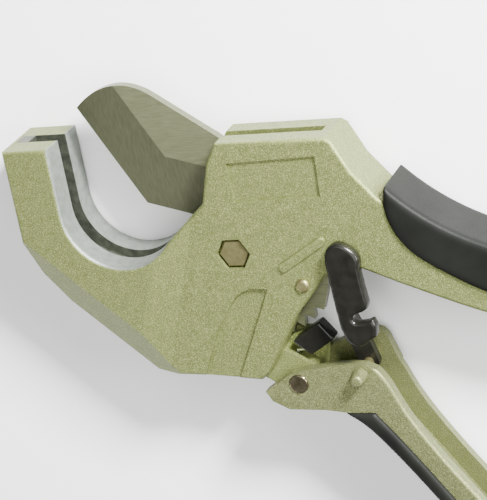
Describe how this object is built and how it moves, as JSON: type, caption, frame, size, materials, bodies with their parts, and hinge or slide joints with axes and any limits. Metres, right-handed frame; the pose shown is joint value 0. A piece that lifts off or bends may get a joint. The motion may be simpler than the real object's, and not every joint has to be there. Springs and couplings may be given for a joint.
{
  "type": "pipe cutter",
  "caption": "Hand ratchet cutter for plastic pipe: a hooked jaw holds the pipe while a pivoting blade is driven by squeezing two gripped handles; a side latch lever hangs between the handles.",
  "frame": {"origin": "centre of the pipe seat in the cutting plane", "axes": "+Z along the pipe's axis, out of the side that carries the bolt head and latch; +X from the hook towards the handles; +Y towards the jaw's mouth. The tool lies on its side."},
  "size_m": [0.2262, 0.208, 0.0308],
  "materials": {
    "painted_casting": "hammered metallic paint",
    "painted_handle": "hammered metallic paint",
    "grip_rubber": "matt moulded rubber",
    "blade_steel": "ground and polished",
    "bolt_steel": "passivated",
    "polished_pin": "polished nickel plate",
    "black_steel": "glossy black oxide",
    "spring_steel": "plain drawn wire"
  },
  "bodies": {
    "frame": {"body_casting": "painted_casting", "upper_grip": "grip_rubber", "pivot_bolt": "bolt_steel", "pivot_nut": "bolt_steel", "nut_washer": "bolt_steel", "pivot_bush": "bolt_steel", "near_washer": "bolt_steel", "far_washer": "bolt_steel", "stop_pin": "bolt_steel", "handle_pin": "polished_pin", "pin_ring": "black_steel", "handle_spring": "spring_steel", "holding_pin": "bolt_steel", "pawl_spring": "spring_steel", "latch_pin": "bolt_steel", "latch_washer": "spring_steel"},
    "blade_body": {"blade": "blade_steel"},
    "handle_body": {"lower_handle": "painted_handle", "lower_grip": "grip_rubber", "drive_pin": "bolt_steel"},
    "drive_pawl_body": {"drive_pawl": "black_steel"},
    "holding_pawl_body": {"holding_pawl": "black_steel"},
    "latch_body": {"lock_latch": "black_steel"}
  },
  "joints": [
    {"name": "blade_hinge", "type": "hinge", "parent": "frame", "child": "blade_body", "pos_m": [0.0425, -0.0185, 0], "axis": [0, 0, 1], "range_deg": [-27, 38]},
    {"name": "handle_hinge", "type": "hinge", "parent": "frame", "child": "handle_body", "pos_m": [0.0584, -0.0711, 0], "axis": [0, 0, 1], "range_deg": [0, 38], "stiffness_Nm_per_rad": 0.5, "springref_deg": -22.92},
    {"name": "drive_pawl_hinge", "type": "hinge", "parent": "handle_body", "child": "drive_pawl_body", "pos_m": [0.0828, -0.0679, 0], "axis": [0, 0, 1], "range_deg": [-71, 1]},
    {"name": "holding_pawl_hinge", "type": "hinge", "parent": "frame", "child": "holding_pawl_body", "pos_m": [0.0629, -0.0575, 0], "axis": [0, 0, 1], "range_deg": [-12, 0], "stiffness_Nm_per_rad": 0.02, "springref_deg": 17.19},
    {"name": "latch_hinge", "type": "hinge", "parent": "frame", "child": "latch_body", "pos_m": [0.0847, -0.0205, 0], "axis": [0, 0, 1], "range_deg": [0, 25]}
  ],
  "couplings": [
    {"joint": "drive_pawl_hinge", "follows": "handle_hinge", "ratio": -1.85}
  ]
}
